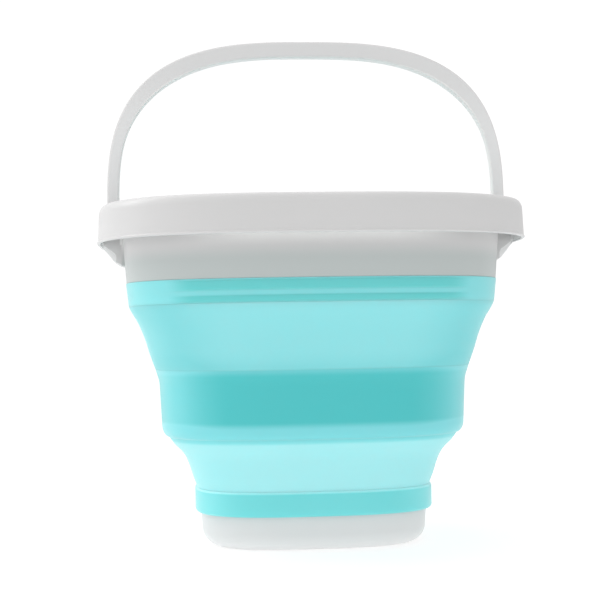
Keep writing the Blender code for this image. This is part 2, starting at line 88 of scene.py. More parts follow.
def swept_wall(section, closed=True, worn=None):
    """Spin a section about the bucket's axis and bring each circle to the bucket's plan. Where given, worn
    changes a circle's half-width by its height and by where on the plan it is."""
    bm = bmesh.new()
    draw_section(bm, section, lambda across, up: (across, 0.0, up), closed)
    bmesh.ops.spin(bm, geom=list(bm.verts) + list(bm.edges), cent=(0.0, 0.0, 0.0), axis=(0.0, 0.0, 1.0),
                   angle=2 * pi, steps=PLAN_STEPS, use_merge=True)
    if not closed:
        bmesh.ops.holes_fill(bm, edges=[edge for edge in bm.edges if edge.is_boundary], sides=0)
    for vert in bm.verts:
        radius = hypot(vert.co.x, vert.co.y)
        angle = atan2(vert.co.y, vert.co.x)
        if worn:
            radius = worn(radius, vert.co.z, plan_place(radius, angle))
        vert.co.x, vert.co.y = plan_place(radius, angle)
    return bm


def finished_piece(name, bm, material):
    """Turn a bmesh into a smooth-shaded piece with its finish."""
    bmesh.ops.recalc_face_normals(bm, faces=bm.faces)
    mesh = bpy.data.meshes.new(name)
    bm.to_mesh(mesh)
    bm.free()
    mesh.shade_smooth()
    mesh.set_sharp_from_angle(angle=CREASE)
    mesh.materials.append(material)
    piece = bpy.data.objects.new(name, mesh)
    bpy.context.scene.collection.objects.link(piece)
    return piece


class Flow:
    """What leaves one socket of a finish's nodes. Arithmetic on it adds the nodes that do it."""

    def __init__(self, tree, socket=None):
        self.tree = tree
        self.socket = socket

    def node(self, kind, settings=None, inputs=None, output=0):
        """Add a node: its settings first, then the values or links of its sockets."""
        made = self.tree.nodes.new(kind)
        for name, value in (settings or {}).items():
            setattr(made, name, value)
        for key, value in (inputs or {}).items():
            if isinstance(value, Flow):
                self.tree.links.new(value.socket, made.inputs[key])
            else:
                made.inputs[key].default_value = value
        return Flow(self.tree, made.outputs[output])

    def maths(self, operation, *others):
        """This flow and the others, in that order, through one Math node."""
        return self.node("ShaderNodeMath", {"operation": operation}, dict(enumerate((self, *others))))

    def __add__(self, other):
        return self.maths("ADD", other)

    def __sub__(self, other):
        return self.maths("SUBTRACT", other)

    def __rsub__(self, other):
        return self * -1.0 + other

    def __mul__(self, other):
        return self.maths("MULTIPLY", other)

    def __truediv__(self, other):
        return self.maths("DIVIDE", other)

    __radd__ = __add__
    __rmul__ = __mul__

    def step(self, start, end):
        """0 before start, 1 after end, and a smooth change between them."""
        return self.node("ShaderNodeMapRange", {"interpolation_type": "SMOOTHSTEP"},
                         {"Value": self, "From Min": start, "From Max": end})

    def tint(self, first, second):
        """The colour that this share of the way from the first colour to the second has."""
        return self.node("ShaderNodeMix", {"data_type": "RGBA"}, {0: self, 6: first, 7: second}, output=2)

    def noise(self, place, scale, detail=2.0):
        """A cloudy pattern about 0.5, with so many clouds to the metre."""
        return self.node("ShaderNodeTexNoise", {}, {"Vector": place, "Scale": scale, "Detail": detail})

    def bump(self, strength, distance):
        """This flow as a height that tilts the surface."""
        return self.node("ShaderNodeBump", {}, {"Strength": strength, "Distance": distance, "Height": self})

    def into(self, shader, key):
        """Lead this flow to a shader's socket."""
        self.tree.links.new(self.socket, shader.inputs[key])


def colour(red, green, blue):
    """A colour given as a screen shows it, 0 to 255, as linear light."""
    return tuple((value / 255) ** 2.2 for value in (red, green, blue)) + (1.0,)


def new_finish(name):
    """A new material, the flow that starts its nodes, its shader and the place on the piece."""
    material = bpy.data.materials.new(name)
    material.use_nodes = True
    tree = material.node_tree
    start = Flow(tree)
    place = start.node("ShaderNodeTexCoord", output=3)
    return material, start, tree.nodes["Principled BSDF"], place


def coordinate(place, axis):
    """One coordinate of a place on the piece."""
    return place.node("ShaderNodeSeparateXYZ", {}, {0: place}, output=axis)


def height_of(place):
    """The height above the floor of a place on the piece, as drawn."""
    return coordinate(place, 2)


PLASTIC_CLOUDS = 14.0
PLASTIC_GRAIN = 1500.0
PLASTIC_PATCHES = 55.0
PATCH_HEIGHT = 0.6
GRAIN_STRENGTH = 0.16
GRAIN_DEPTH = 0.0003
SPECKLE_RANGE = (-0.3, 1.3)
SPECKLE_SHARE = 0.12
PLASTIC_ROUGHNESS = 0.26
PLASTIC_MOTTLE = 0.16


def grey_plastic(name, light, dark, shade, glow=0.1, glow_reach=0.002, grain_strength=GRAIN_STRENGTH):
    """Satin polypropylene: a fine eroded grain, faint clouds from the flow, and a mottled gloss. The
    share glow of the light enters it and spreads by glow_reach."""
    material, start, shader, place = new_finish(name)
    clouds = start.noise(place, PLASTIC_CLOUDS, detail=3.0)
    grain = start.noise(place, PLASTIC_GRAIN)
    patches = start.noise(place, PLASTIC_PATCHES, detail=4.0)
    base = shade(place, clouds.tint(dark, light))
    speckled = grain.step(*SPECKLE_RANGE).tint(base, light)
    mixed = start.node("ShaderNodeMix", {"data_type": "RGBA"}, {0: SPECKLE_SHARE, 6: base, 7: speckled},
                       output=2)
    mixed.into(shader, "Base Color")
    (patches * PLASTIC_MOTTLE + PLASTIC_ROUGHNESS).into(shader, "Roughness")
    (grain + patches * PATCH_HEIGHT).bump(grain_strength, GRAIN_DEPTH).into(shader, "Normal")
    shader.inputs["Specular IOR Level"].default_value = 0.45
    shader.inputs["Subsurface Weight"].default_value = glow
    shader.inputs["Subsurface Radius"].default_value = (1.0, 1.0, 1.0)
    shader.inputs["Subsurface Scale"].default_value = glow_reach
    return material


BASE_WALL = 0.0022
BASE_TOP = 0.0382
BASE_OUTER = 0.0834
BASE_SEAM_HEIGHT = 0.0252
BASE_EDGE = 0.0006
FOOT_OUTER = 0.0698
FOOT_INNER = 0.0618
FOOT_HEIGHT = 0.0015
FOOT_EDGE = 0.0005
CORNER = 0.0128
CORNER_STEPS = 14
GATE_RADIUS = 0.0016
GATE_TAPER = 0.8
GATE_HEIGHT = 0.0007
GATE_STEPS = 32
# Painted light: the grey that the base's round corner is painted towards the floor.
FLOOR_LIT_GREY = colour(228, 229, 229)

corner_centre = (FOOT_OUTER, CORNER)
inner_centre = (FOOT_OUTER + FOOT_HEIGHT, CORNER)
base_section = [
    (FOOT_INNER - FOOT_HEIGHT, FOOT_HEIGHT, 0.0),
    (FOOT_INNER, 0.0, FOOT_EDGE),
    *arc(corner_centre, CORNER, -pi / 2, 0.0, CORNER_STEPS),
    (BASE_OUTER, BASE_SEAM_HEIGHT, 0.0),
    (BASE_OUTER, BASE_TOP, BASE_EDGE),
    (BASE_OUTER - BASE_WALL, BASE_TOP, BASE_EDGE),
    *arc(inner_centre, CORNER - BASE_WALL - FOOT_HEIGHT, 0.0, -pi / 2, CORNER_STEPS),
]
base_bm = swept_wall(base_section, closed=False)
bmesh.ops.create_cone(base_bm, cap_ends=True, segments=GATE_STEPS, radius1=GATE_RADIUS * GATE_TAPER,
                      radius2=GATE_RADIUS, depth=GATE_HEIGHT * 2,
                      matrix=Matrix.Translation((0.0, 0.0, FOOT_HEIGHT)))


def painted_floor_light(place, base):
    """Painted light: the round corner is painted paler towards the floor. It stands in for light from below
    coming through it, where the corner would otherwise be in shade.
    """
    return height_of(place).step(CORNER, FOOT_HEIGHT).tint(base, FLOOR_LIT_GREY)


base_grey = grey_plastic("base_grey", colour(219, 218, 218), colour(215, 216, 216), painted_floor_light,
                         glow=0.5, glow_reach=0.008)
base_tray = finished_piece("base_tray_moulding", base_bm, base_grey)
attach(base_tray, "base")
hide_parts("base_tray")


# The lower band
# The lowest stiff ring of the soft body, thermoplastic rubber moulded over the upstanding wall of the
# base. It covers the wall's outside and its top, so that no water gets between them.
LOWER_BAND_OUTER = 0.0876
LOWER_BAND_NECK = 0.0862
LOWER_BAND_TOP = 0.043
LOWER_BAND_BOTTOM = 0.0252
LOWER_BAND_SLOPE = 0.0014
LOWER_BAND_EDGE = 0.0008
LOWER_BAND_INNER_EDGE = 0.0012
NECK_EDGE = 0.0004
BASE_BOND = 0.0002
# Painted light: the lower band's ledge and corners are painted paler by these spans and this share.
LEDGE_FADE = (0.0022, 0.0006)
LOWER_BAND_CORNERS = 0.2
CORNER_TURNS = (0.58, 1.2)
CORNER_END_TURNS = (2.9, 1.5)
AQUA_CLOUDS = 9.0
AQUA_CLOUD_SHARE = 0.12
AQUA_GRAIN = 900.0
AQUA_GRAIN_HEIGHT = 0.7
AQUA_PATCHES = 38.0
AQUA_ROUGHNESS = 0.34
AQUA_MOTTLE = 0.18


def turn_of(place):
    """How far a place lies round its ring: 0 in the middle of a long side, about 1 at the corner, 6 in the
    middle of a short side."""
    along = coordinate(place, 1).maths("ABSOLUTE")
    return coordinate(place, 0).maths("ABSOLUTE") / (along + SIDE_DIFFERENCE)


def corners_of(place, start=CORNER_TURNS[0], end=CORNER_TURNS[1]):
    """1 at the four corners of a ring, 0 in the middle of its sides. It grows from start to end."""
    turn = turn_of(place)
    return turn.step(start, end) * turn.step(*CORNER_END_TURNS)


def aqua_rubber(name, thick, thin, thinness_and_painted_light, sheen=0.0):
    """Soft satin rubber that lets light in. It has the thin colour where its mask is 1. On some pieces that
    mask carries painted light and painted shade as well as thin rubber.
    """
    material, start, shader, place = new_finish(name)
    clouds = start.noise(place, AQUA_CLOUDS)
    grain = start.noise(place, AQUA_GRAIN)
    patches = start.noise(place, AQUA_PATCHES, detail=4.0)
    (thinness_and_painted_light(place) + (clouds - 0.5) * AQUA_CLOUD_SHARE).tint(thick, thin).into(shader, "Base Color")
    (patches * AQUA_MOTTLE + AQUA_ROUGHNESS).into(shader, "Roughness")
    (grain * AQUA_GRAIN_HEIGHT + patches).bump(strength=0.12, distance=0.0004).into(shader, "Normal")
    shader.inputs["Specular IOR Level"].default_value = 0.4
    shader.inputs["Sheen Weight"].default_value = sheen
    shader.inputs["Sheen Roughness"].default_value = 0.4
    shader.inputs["Subsurface Weight"].default_value = 0.5
    shader.inputs["Subsurface Radius"].default_value = (0.4, 1.0, 1.0)
    shader.inputs["Subsurface Scale"].default_value = 0.004
    return material


lower_band_section = [
    (LOWER_BAND_NECK, LOWER_BAND_TOP, NECK_EDGE),
    (LOWER_BAND_OUTER, LOWER_BAND_TOP - LOWER_BAND_SLOPE, LOWER_BAND_EDGE),
    (LOWER_BAND_OUTER, LOWER_BAND_BOTTOM + LOWER_BAND_SLOPE, LOWER_BAND_EDGE),
    (LOWER_BAND_NECK, LOWER_BAND_BOTTOM, NECK_EDGE),
    (BASE_OUTER - BASE_BOND, LOWER_BAND_BOTTOM, 0.0),
    (BASE_OUTER - BASE_BOND, BASE_TOP - BASE_BOND, 0.0),
    (BASE_OUTER - BASE_WALL, BASE_TOP - BASE_BOND, 0.0),
    (BASE_OUTER - BASE_WALL, LOWER_BAND_TOP, LOWER_BAND_INNER_EDGE),
]


def lower_band_painted_light(place):
    """Painted light: paler along its upper ledge, against the shade in the crease where the lower fold meets
    it, and a little paler in the corners as a painted sheen.
    """
    ledge = height_of(place).step(*(LOWER_BAND_TOP - depth for depth in LEDGE_FADE))
    return corners_of(place) * LOWER_BAND_CORNERS + ledge


lower_aqua = aqua_rubber("lower_band_aqua", colour(118, 218, 220), colour(176, 245, 250),
                         lower_band_painted_light, sheen=0.25)
lower_band = finished_piece("lower_band_ring", swept_wall(lower_band_section), lower_aqua)
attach(lower_band, "base")
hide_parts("lower_band")


# The lower fold wall
# The thin part of the soft body that turns inside out as the bucket is pressed flat. It starts under the
# middle band's turned edge and runs down in a hollow curve to the lower band.
FOLD_WALL = 0.0014
FOLD_STEPS = 30
FOLD_ROOT = 0.0009
ROOT_NARROWING = FOLD_ROOT / 3
MIDDLE_BAND_BOTTOM = 0.081
MIDDLE_BAND_FOOT = 0.1066
LOWER_FOLD_BOWS = ((0.0, 0.0), (0.18, 0.023), (0.31, 0.062), (0.44, 0.080), (0.60, 0.066),
                   (0.80, 0.028), (1.0, 0.0))
# Painted shade: the lower fold is painted darker under the middle band and in its corners.
LOWER_FOLD_FADE = (0.0012, 0.0045)
LOWER_FOLD_CORNERS = 0.15
LOWER_FOLD_CORNER_START = 0.4


def bowed(shares, share):
    """How far a fold wall bows inwards at one share of its run, itself as a share of the run's length. It
    is smooth from each given place to the next."""
    places = [place for place, _ in shares]
    index = max(i for i in range(len(places) - 1) if places[i] <= share)
    slopes = []
    for i in (index, index + 1):
        before = shares[max(i - 1, 0)]
        after = shares[min(i + 1, len(shares) - 1)]
        slopes.append((after[1] - before[1]) / (after[0] - before[0]))
    width = places[index + 1] - places[index]
    t = (share - places[index]) / width
    low, high = shares[index][1], shares[index + 1][1]
    return ((2 * t ** 3 - 3 * t ** 2 + 1) * low + (t ** 3 - 2 * t ** 2 + t) * width * slopes[0]
            + (3 * t ** 2 - 2 * t ** 3) * high + (t ** 3 - t ** 2) * width * slopes[1])


def fold_wall(top, bottom, shares):
    """A thin wall between two bands, rooted a little inside each of them."""
    run = Vector(bottom) - Vector(top)
    inward = Vector((run.y, -run.x))
    outer = [Vector(top) + run * (i / FOLD_STEPS) + inward * bowed(shares, i / FOLD_STEPS)
             for i in range(FOLD_STEPS + 1)]
    inner = []
    for index, point in enumerate(outer):
        slope = (outer[min(index + 1, FOLD_STEPS)] - outer[max(index - 1, 0)]).normalized()
        inner.append(point + Vector((slope.y, -slope.x)) * FOLD_WALL)
    inner[0].y = outer[0].y
    inner[-1].y = outer[-1].y
    outline = [outer[0] + Vector((-ROOT_NARROWING, FOLD_ROOT)), *outer,
               outer[-1] - Vector((ROOT_NARROWING, FOLD_ROOT)), inner[-1] - Vector((0.0, FOLD_ROOT)),
               *reversed(inner), inner[0] + Vector((0.0, FOLD_ROOT))]
    return swept_wall([(point.x, point.y, 0.0) for point in outline])


def lower_fold_thinness_and_shade(place):
    """Pale over its thin run. Darker where it leaves the middle band, as painted shade under the band, and
    darker in the corners, as painted shade against the light from the left.
    """
    run = height_of(place).step(*(MIDDLE_BAND_BOTTOM - depth for depth in LOWER_FOLD_FADE))
    return run - corners_of(place, LOWER_FOLD_CORNER_START) * LOWER_FOLD_CORNERS


lower_fold_aqua = aqua_rubber("lower_fold_aqua", colour(130, 219, 223), colour(168, 232, 236),
                              lower_fold_thinness_and_shade)
lower_fold = finished_piece(
    "lower_fold_wall_skin",
    fold_wall((MIDDLE_BAND_FOOT, MIDDLE_BAND_BOTTOM), (LOWER_BAND_NECK, LOWER_BAND_TOP), LOWER_FOLD_BOWS),
    lower_fold_aqua)
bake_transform(lower_fold)
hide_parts("lower_fold_wall")


# The middle band
# The wide stiff ring of the soft body, 4 mm thick, which keeps the bucket's shape when it stands open.
# Its upper lip stands out, its face is nearly upright, and its lower edge turns under.
MIDDLE_BAND_TOP = 0.1298
MIDDLE_BAND_OUTER = 0.1154
MIDDLE_BAND_WAIST = 0.1126
MIDDLE_BAND_LOW = 0.1112
MIDDLE_BAND_WALL = 0.004
MIDDLE_BAND_LIP = 0.009
MIDDLE_BAND_TURN = 0.0085
MIDDLE_BAND_SOLE = 0.003
MIDDLE_BAND_BEND = 0.003
MIDDLE_BAND_EDGE = 0.0004
MIDDLE_BAND_INNER_EDGE = 0.0008
TURN_STEPS = 10
TURN_FADE = (0.0042, -0.0012)
LIP_FADE = (-0.0055, 0.001)
LIP_SHARE = 0.8
# Painted sheen: the middle band's corners are painted paler by this share.
MIDDLE_BAND_CORNERS = 0.65
MIDDLE_BAND_CORNER_START = 0.56

turn_top = MIDDLE_BAND_BOTTOM + MIDDLE_BAND_TURN
turn_inset = MIDDLE_BAND_LOW - MIDDLE_BAND_FOOT
turned = [(MIDDLE_BAND_LOW - turn_inset * (1 - cos(pi / 2 * i / TURN_STEPS)),
           turn_top - MIDDLE_BAND_TURN * sin(pi / 2 * i / TURN_STEPS), 0.0) for i in range(TURN_STEPS + 1)]
middle_band_section = [
    (MIDDLE_BAND_OUTER, MIDDLE_BAND_TOP, MIDDLE_BAND_EDGE),
    (MIDDLE_BAND_WAIST, MIDDLE_BAND_TOP - MIDDLE_BAND_LIP, MIDDLE_BAND_BEND),
    *turned,
    (MIDDLE_BAND_FOOT - MIDDLE_BAND_SOLE, MIDDLE_BAND_BOTTOM, MIDDLE_BAND_EDGE),
    (MIDDLE_BAND_LOW - MIDDLE_BAND_WALL, turn_top, MIDDLE_BAND_BEND),
    (MIDDLE_BAND_WAIST - MIDDLE_BAND_WALL, MIDDLE_BAND_TOP - MIDDLE_BAND_LIP, MIDDLE_BAND_BEND),
    (MIDDLE_BAND_OUTER - MIDDLE_BAND_WALL, MIDDLE_BAND_TOP, MIDDLE_BAND_INNER_EDGE),
]


def middle_band_thinness_and_sheen(place):
    """Thin round its turned edge and towards the top of its lip. Paler in the corners as a painted sheen,
    standing in for the light the corners catch from the sides.
    """
    z = height_of(place)
    edge = z.step(*(turn_top + shift for shift in TURN_FADE))
    lip = z.step(*(MIDDLE_BAND_TOP + shift for shift in LIP_FADE)) * LIP_SHARE
    return edge + lip + corners_of(place, MIDDLE_BAND_CORNER_START) * MIDDLE_BAND_CORNERS


middle_aqua = aqua_rubber("middle_band_aqua", colour(77, 194, 196), colour(127, 215, 220),
                          middle_band_thinness_and_sheen, sheen=0.25)
middle_band = finished_piece("middle_band_ring", swept_wall(middle_band_section), middle_aqua)
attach(middle_band, "middle")
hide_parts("middle_band")


# The upper fold wall
# The larger of the two thin walls that turn inside out. It falls from the top band to the middle band's
# lip, a little hollow on the outside.
TOP_BAND_BOTTOM = 0.1755
TOP_BAND_LOW = 0.1338
UPPER_FOLD_BOWS = ((0.0, 0.0), (0.10, 0.008), (0.27, 0.032), (0.52, 0.033), (0.76, 0.012), (1.0, 0.0))
UPPER_FOLD_FADE = (-0.01, 0.015)
# Painted shade: the upper fold's corners are painted darker by this share.
UPPER_FOLD_CORNERS = 0.85
UPPER_FOLD_CORNER_TURNS = (0.46, 1.05)


def upper_fold_tone_and_shade(place):
    """Pale over its thin run and darker towards the middle band. Darker in the four corners as painted shade,
    against the light from the left.
    """
    run = height_of(place).step(*(MIDDLE_BAND_TOP + shift for shift in UPPER_FOLD_FADE))
    return run - corners_of(place, *UPPER_FOLD_CORNER_TURNS) * UPPER_FOLD_CORNERS


upper_fold_aqua = aqua_rubber("upper_fold_aqua", colour(121, 204, 208), colour(143, 215, 219),
                              upper_fold_tone_and_shade)
upper_fold = finished_piece(
    "upper_fold_wall_skin",
    fold_wall((TOP_BAND_LOW, TOP_BAND_BOTTOM), (MIDDLE_BAND_OUTER, MIDDLE_BAND_TOP), UPPER_FOLD_BOWS),
    upper_fold_aqua)
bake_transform(upper_fold)
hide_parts("upper_fold_wall")


# The top band
# The soft body's topmost ring, moulded round and under the tongue of the rim. Two low ribs run along each
# long side, which show darker because the rubber is thicker there.
COLLAR_BOTTOM = 0.1919
TOP_BAND_OUTER = 0.1355
TOP_BAND_WALL = 0.0036
TOP_BAND_HEM = 0.0066
TOP_BAND_EDGE = 0.0002
HEM_EDGE = 0.0008
HEM_INNER_EDGE = 0.0004
TONGUE_OUTER = 0.1332
TONGUE_BOND = 0.0001
RIB_PROUD = 0.0005
RIB_SLOPE = 0.0009
RIB_EDGE = 0.0003
RIB_SHARES = ((0.06, 0.47), (0.69, 0.96))
RIB_RUN_OUT = (0.95, 0.70)
RIB_FADE_BELOW = (-0.0012, 0.0008)
RIB_FADE_ABOVE = (0.001, -0.001)

band_height = COLLAR_BOTTOM - TOP_BAND_BOTTOM
band_taper = (TOP_BAND_OUTER - TOP_BAND_LOW) / band_height
ribs = []
for start_share, end_share in RIB_SHARES:
    for share, shift, proud in ((start_share, 0.0, 0.0), (start_share, -RIB_SLOPE, RIB_PROUD),
                                (end_share, RIB_SLOPE, RIB_PROUD), (end_share, 0.0, 0.0)):
        z = COLLAR_BOTTOM - band_height * share + shift
        ribs.append((TOP_BAND_OUTER - band_taper * (COLLAR_BOTTOM - z) + proud, z, RIB_EDGE))
top_band_section = [
    (TOP_BAND_OUTER, COLLAR_BOTTOM, TOP_BAND_EDGE),
    *ribs,
    (TOP_BAND_LOW, TOP_BAND_BOTTOM, 0.0),
    (TOP_BAND_LOW - TOP_BAND_WALL, TOP_BAND_BOTTOM, HEM_EDGE),
    (TOP_BAND_LOW - TOP_BAND_WALL, TOP_BAND_BOTTOM + TOP_BAND_HEM, HEM_INNER_EDGE),
    (TONGUE_OUTER - TONGUE_BOND, TOP_BAND_BOTTOM + TOP_BAND_HEM, 0.0),
    (TONGUE_OUTER - TONGUE_BOND, COLLAR_BOTTOM, 0.0),
]


def fading_ribs(half_width, z, place):
    """The ribs are full along the long sides and run out before the corners."""
    wall = TOP_BAND_OUTER - band_taper * (COLLAR_BOTTOM - z)
    turn = abs(place[0]) / (abs(place[1]) + SIDE_DIFFERENCE)
    left = min(max((turn - RIB_RUN_OUT[0]) / (RIB_RUN_OUT[1] - RIB_RUN_OUT[0]), 0.0), 1.0)
    return wall + (half_width - wall) * left if half_width > wall else half_width


def between_ribs(place):
    """1 where the top band is plain, 0 on its two ribs."""
    z = height_of(place)
    along_sides = turn_of(place).step(*RIB_RUN_OUT)
    plain = 1.0
    for start_share, end_share in RIB_SHARES:
        high = COLLAR_BOTTOM - band_height * start_share
        low = COLLAR_BOTTOM - band_height * end_share
        on_rib = (z.step(*(low + shift for shift in RIB_FADE_BELOW))
                  * z.step(*(high + shift for shift in RIB_FADE_ABOVE)))
        plain = plain - on_rib * along_sides
    return plain


top_aqua = aqua_rubber("top_band_aqua", colour(103, 203, 203), colour(132, 218, 222), between_ribs,
                       sheen=0.2)
top_band = finished_piece("top_band_ring", swept_wall(top_band_section, worn=fading_ribs), top_aqua)
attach(top_band, "rim")
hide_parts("top_band")


# The rim
# A hard polypropylene moulding: a beaded skirt, a round shoulder, a channel for the bail, an inner lip and
# a collar that ends in a tongue for the soft body. Each short side has an ear with the bore for the bail's
# pin and, below it under the channel, a housing of two cheeks with a sloped web between them.
RIM_TOP = 0.247
SKIRT_BOTTOM = 0.2203
SKIRT_OUTER = 0.155
SKIRT_TOP = 0.1542
SKIRT_EDGE = 0.0004
SKIRT_BEAD = 0.0006
SKIRT_BEAD_HEIGHT = 0.0018
BEAD_EDGE = 0.0003
RIM_WALL = 0.0018
SHOULDER_WIDTH = 0.004
SHOULDER_HEIGHT = 0.007
SHOULDER_STEPS = 16
CHANNEL_FLOOR = 0.236
CHANNEL_DROP = 0.0006
CHANNEL_BEND = 0.0015
LIP_OUTER = 0.1496
COLLAR_TOP = 0.138
COLLAR_BEND = 0.0012
HOLLOW_EDGE = 0.0006
INNER_LIP_OUTER = 0.1364
LIP_INNER = 0.1344
LIP_EDGE = 0.0008
INNER_LIP_TOP = 0.245
COLLAR_LOW = 0.1352
COLLAR_EDGE = 0.0004
TONGUE_INNER = 0.1312
TONGUE_BOTTOM = 0.1824
TONGUE_EDGE = 0.0004
TONGUE_STEP = 0.003
TONGUE_BENDS = (0.0015, 0.001)
PIVOT_HEIGHT = 0.2455
EAR_RADIUS = 0.0062
EAR_INNER = 0.1340
EAR_OUTER = 0.1396
EAR_EDGE = 0.0004
BORE_RADIUS = 0.0034
CIRCLE_STEPS = 48
HOUSING_WIDTH = 0.028
CHEEK_THICKNESS = 0.0018
CHEEK_EDGE = 0.0004
CHEEK_OUTLINE = ((0.1342, 0.2052), (0.1360, 0.2056), (0.1424, 0.2083), (0.1424, 0.2126),
                 (0.1436, 0.2151), (0.1467, 0.2173), (0.1531, 0.2223), (0.1533, 0.2351), (0.137, 0.2351))
WEB_WIDTH = 0.0254
WEB_EDGE = 0.0005
WEB_OUTLINE = ((0.1342, 0.2050), (0.1402, 0.2063), (0.1438, 0.2088), (0.1482, 0.2142),
               (0.1541, 0.2216), (0.1533, 0.2351), (0.137, 0.2351))

rim_section = [
    (SKIRT_OUTER - RIM_WALL, SKIRT_BOTTOM, SKIRT_EDGE),
    (SKIRT_OUTER, SKIRT_BOTTOM, BEAD_EDGE),
    (SKIRT_OUTER + SKIRT_BEAD, SKIRT_BOTTOM + SKIRT_BEAD, BEAD_EDGE),
    (SKIRT_OUTER + SKIRT_BEAD, SKIRT_BOTTOM + SKIRT_BEAD_HEIGHT - SKIRT_BEAD, BEAD_EDGE),
    (SKIRT_OUTER, SKIRT_BOTTOM + SKIRT_BEAD_HEIGHT, BEAD_EDGE),
    *arc((SKIRT_TOP - SHOULDER_WIDTH, RIM_TOP - SHOULDER_HEIGHT), SHOULDER_WIDTH, 0.0, pi / 2,
         SHOULDER_STEPS, SHOULDER_HEIGHT),
    (LIP_OUTER, RIM_TOP - CHANNEL_DROP, 0.0),
    (LIP_OUTER, CHANNEL_FLOOR, CHANNEL_BEND),
    (INNER_LIP_OUTER, CHANNEL_FLOOR, CHANNEL_BEND),
    (INNER_LIP_OUTER, INNER_LIP_TOP, LIP_EDGE),
    (LIP_INNER, INNER_LIP_TOP, LIP_EDGE),
    (TONGUE_OUTER, COLLAR_BOTTOM + TONGUE_STEP, TONGUE_BENDS[0]),
    (TONGUE_INNER, COLLAR_BOTTOM, TONGUE_BENDS[1]),
    (TONGUE_INNER, TONGUE_BOTTOM, TONGUE_EDGE),
    (TONGUE_OUTER, TONGUE_BOTTOM, TONGUE_EDGE),
    (TONGUE_OUTER, COLLAR_BOTTOM, 0.0),
    (COLLAR_LOW, COLLAR_BOTTOM, COLLAR_EDGE),
    (COLLAR_TOP, CHANNEL_FLOOR - RIM_WALL, COLLAR_BEND),
    (LIP_OUTER + RIM_WALL, CHANNEL_FLOOR - RIM_WALL, HOLLOW_EDGE),
    (LIP_OUTER + RIM_WALL, RIM_TOP - SHOULDER_HEIGHT, 0.0),
    (SKIRT_TOP - RIM_WALL, RIM_TOP - SHOULDER_HEIGHT, 0.0),
]
rim_bm = swept_wall(rim_section)


def rounded_outline(bm, outline, place, travel, reach):
    """A flat outline drawn out into a solid with rounded edges."""
    face = bm.faces.new([bm.verts.new(place(point)) for point in outline])
    grown = bmesh.ops.extrude_face_region(bm, geom=[face])
    moved = [item for item in grown["geom"] if isinstance(item, bmesh.types.BMVert)]
    bmesh.ops.translate(bm, verts=moved, vec=travel)
    edges = dict.fromkeys([*face.edges, *(edge for vert in moved for edge in vert.link_edges)])
    bmesh.ops.bevel(bm, geom=list(edges), offset=reach, offset_type='OFFSET', segments=3, profile=0.5,
                    affect='EDGES', material=-1)


def ear(bm, side):
    """An arched tab on the inner lip, with the bore of the bail's pin through it."""
    turned_up = Matrix.Translation((side * EAR_INNER, 0.0, PIVOT_HEIGHT)) @ Matrix.Rotation(pi / 2, 4, 'Y')
    loops = [bmesh.ops.create_circle(bm, segments=CIRCLE_STEPS, radius=radius, matrix=turned_up)["verts"]
             for radius in (EAR_RADIUS, BORE_RADIUS)]
    for vert in loops[0]:
        if vert.co.z < PIVOT_HEIGHT - EAR_RADIUS / CIRCLE_STEPS:
            vert.co.z = CHANNEL_FLOOR - RIM_WALL / 2
    near = list(dict.fromkeys(edge for loop in loops for vert in loop for edge in vert.link_edges))
    faces = bmesh.ops.bridge_loops(bm, edges=near)["faces"]
    grown = bmesh.ops.extrude_face_region(bm, geom=faces)["geom"]
    moved = [item for item in grown if isinstance(item, bmesh.types.BMVert)]
    bmesh.ops.translate(bm, verts=moved, vec=(side * (EAR_OUTER - EAR_INNER), 0.0, 0.0))
    far = dict.fromkeys(edge for vert in moved for edge in vert.link_edges
                        if edge.other_vert(vert) in moved
                        and len([face for face in edge.link_faces if face in grown]) == 1)
    bmesh.ops.bevel(bm, geom=list(far) + near, offset=EAR_EDGE, offset_type='OFFSET', segments=2,
                    profile=0.5, affect='EDGES', material=-1)


for side in (-1, 1):
    ear(rim_bm, side)
    rounded_outline(rim_bm, WEB_OUTLINE, lambda point: (side * point[0], -WEB_WIDTH / 2, point[1]),
                    (0.0, WEB_WIDTH, 0.0), WEB_EDGE)
    for front in (-HOUSING_WIDTH / 2, HOUSING_WIDTH / 2 - CHEEK_THICKNESS):
        rounded_outline(rim_bm, CHEEK_OUTLINE, lambda point: (side * point[0], front, point[1]),
                        (0.0, CHEEK_THICKNESS, 0.0), CHEEK_EDGE)

# Where each tint of the rim's painted light and shade starts and where it is full, mostly as shifts from an
# edge, and the tints' colours. The pale collar, inner skirt and web-end greys are painted light. The collar's
# foot grey is painted shade with a painted green reflection of the aqua body. The cheek and bead greys are
# the rim's own grey.
BEYOND_BLUR = 0.015
COLLAR_LEAN = 0.046
COLLAR_SKIN = 0.0015
HOLLOW_SKIN = 0.0004
FOOT_FADE = (0.216, 0.204)
PALE_FADE = (0.2125, 0.2225)
PALE_CORNER_TURNS = (0.3, 0.9)
HOLLOW_FADE = (0.001, 0.002)
SKIRT_FADE = (0.0015, 0.0)
BEAD_FADE = (0.0012, 0.0006)
INNER_SKIRT_FADE = (0.012, 0.004)
WEB_START = (0.0005, 0.001)
WEB_END_FADES = ((-0.0035, -0.0008), (0.0002, 0.0))
COLLAR_FOOT_SHADE_GREY = colour(179, 186, 185)
COLLAR_LIT_GREY = colour(240, 240, 239)
CHEEK_GREY = colour(207, 207, 207)
INNER_SKIRT_LIT_GREY = colour(240, 240, 240)
WEB_END_LIT_GREY = colour(238, 238, 238)
BEAD_GREY = colour(206, 206, 206)


def beyond(across, along, half_width):
    """1 outside the bucket's plan curve of one half-width, 0 inside it."""
    reach = ((across.maths("ABSOLUTE") / half_width).maths("POWER", PLAN_POWER)
             + (along.maths("ABSOLUTE") / (half_width - SIDE_DIFFERENCE)).maths("POWER", PLAN_POWER))
    return reach.step(1.0 - BEYOND_BLUR, 1.0 + BEYOND_BLUR)


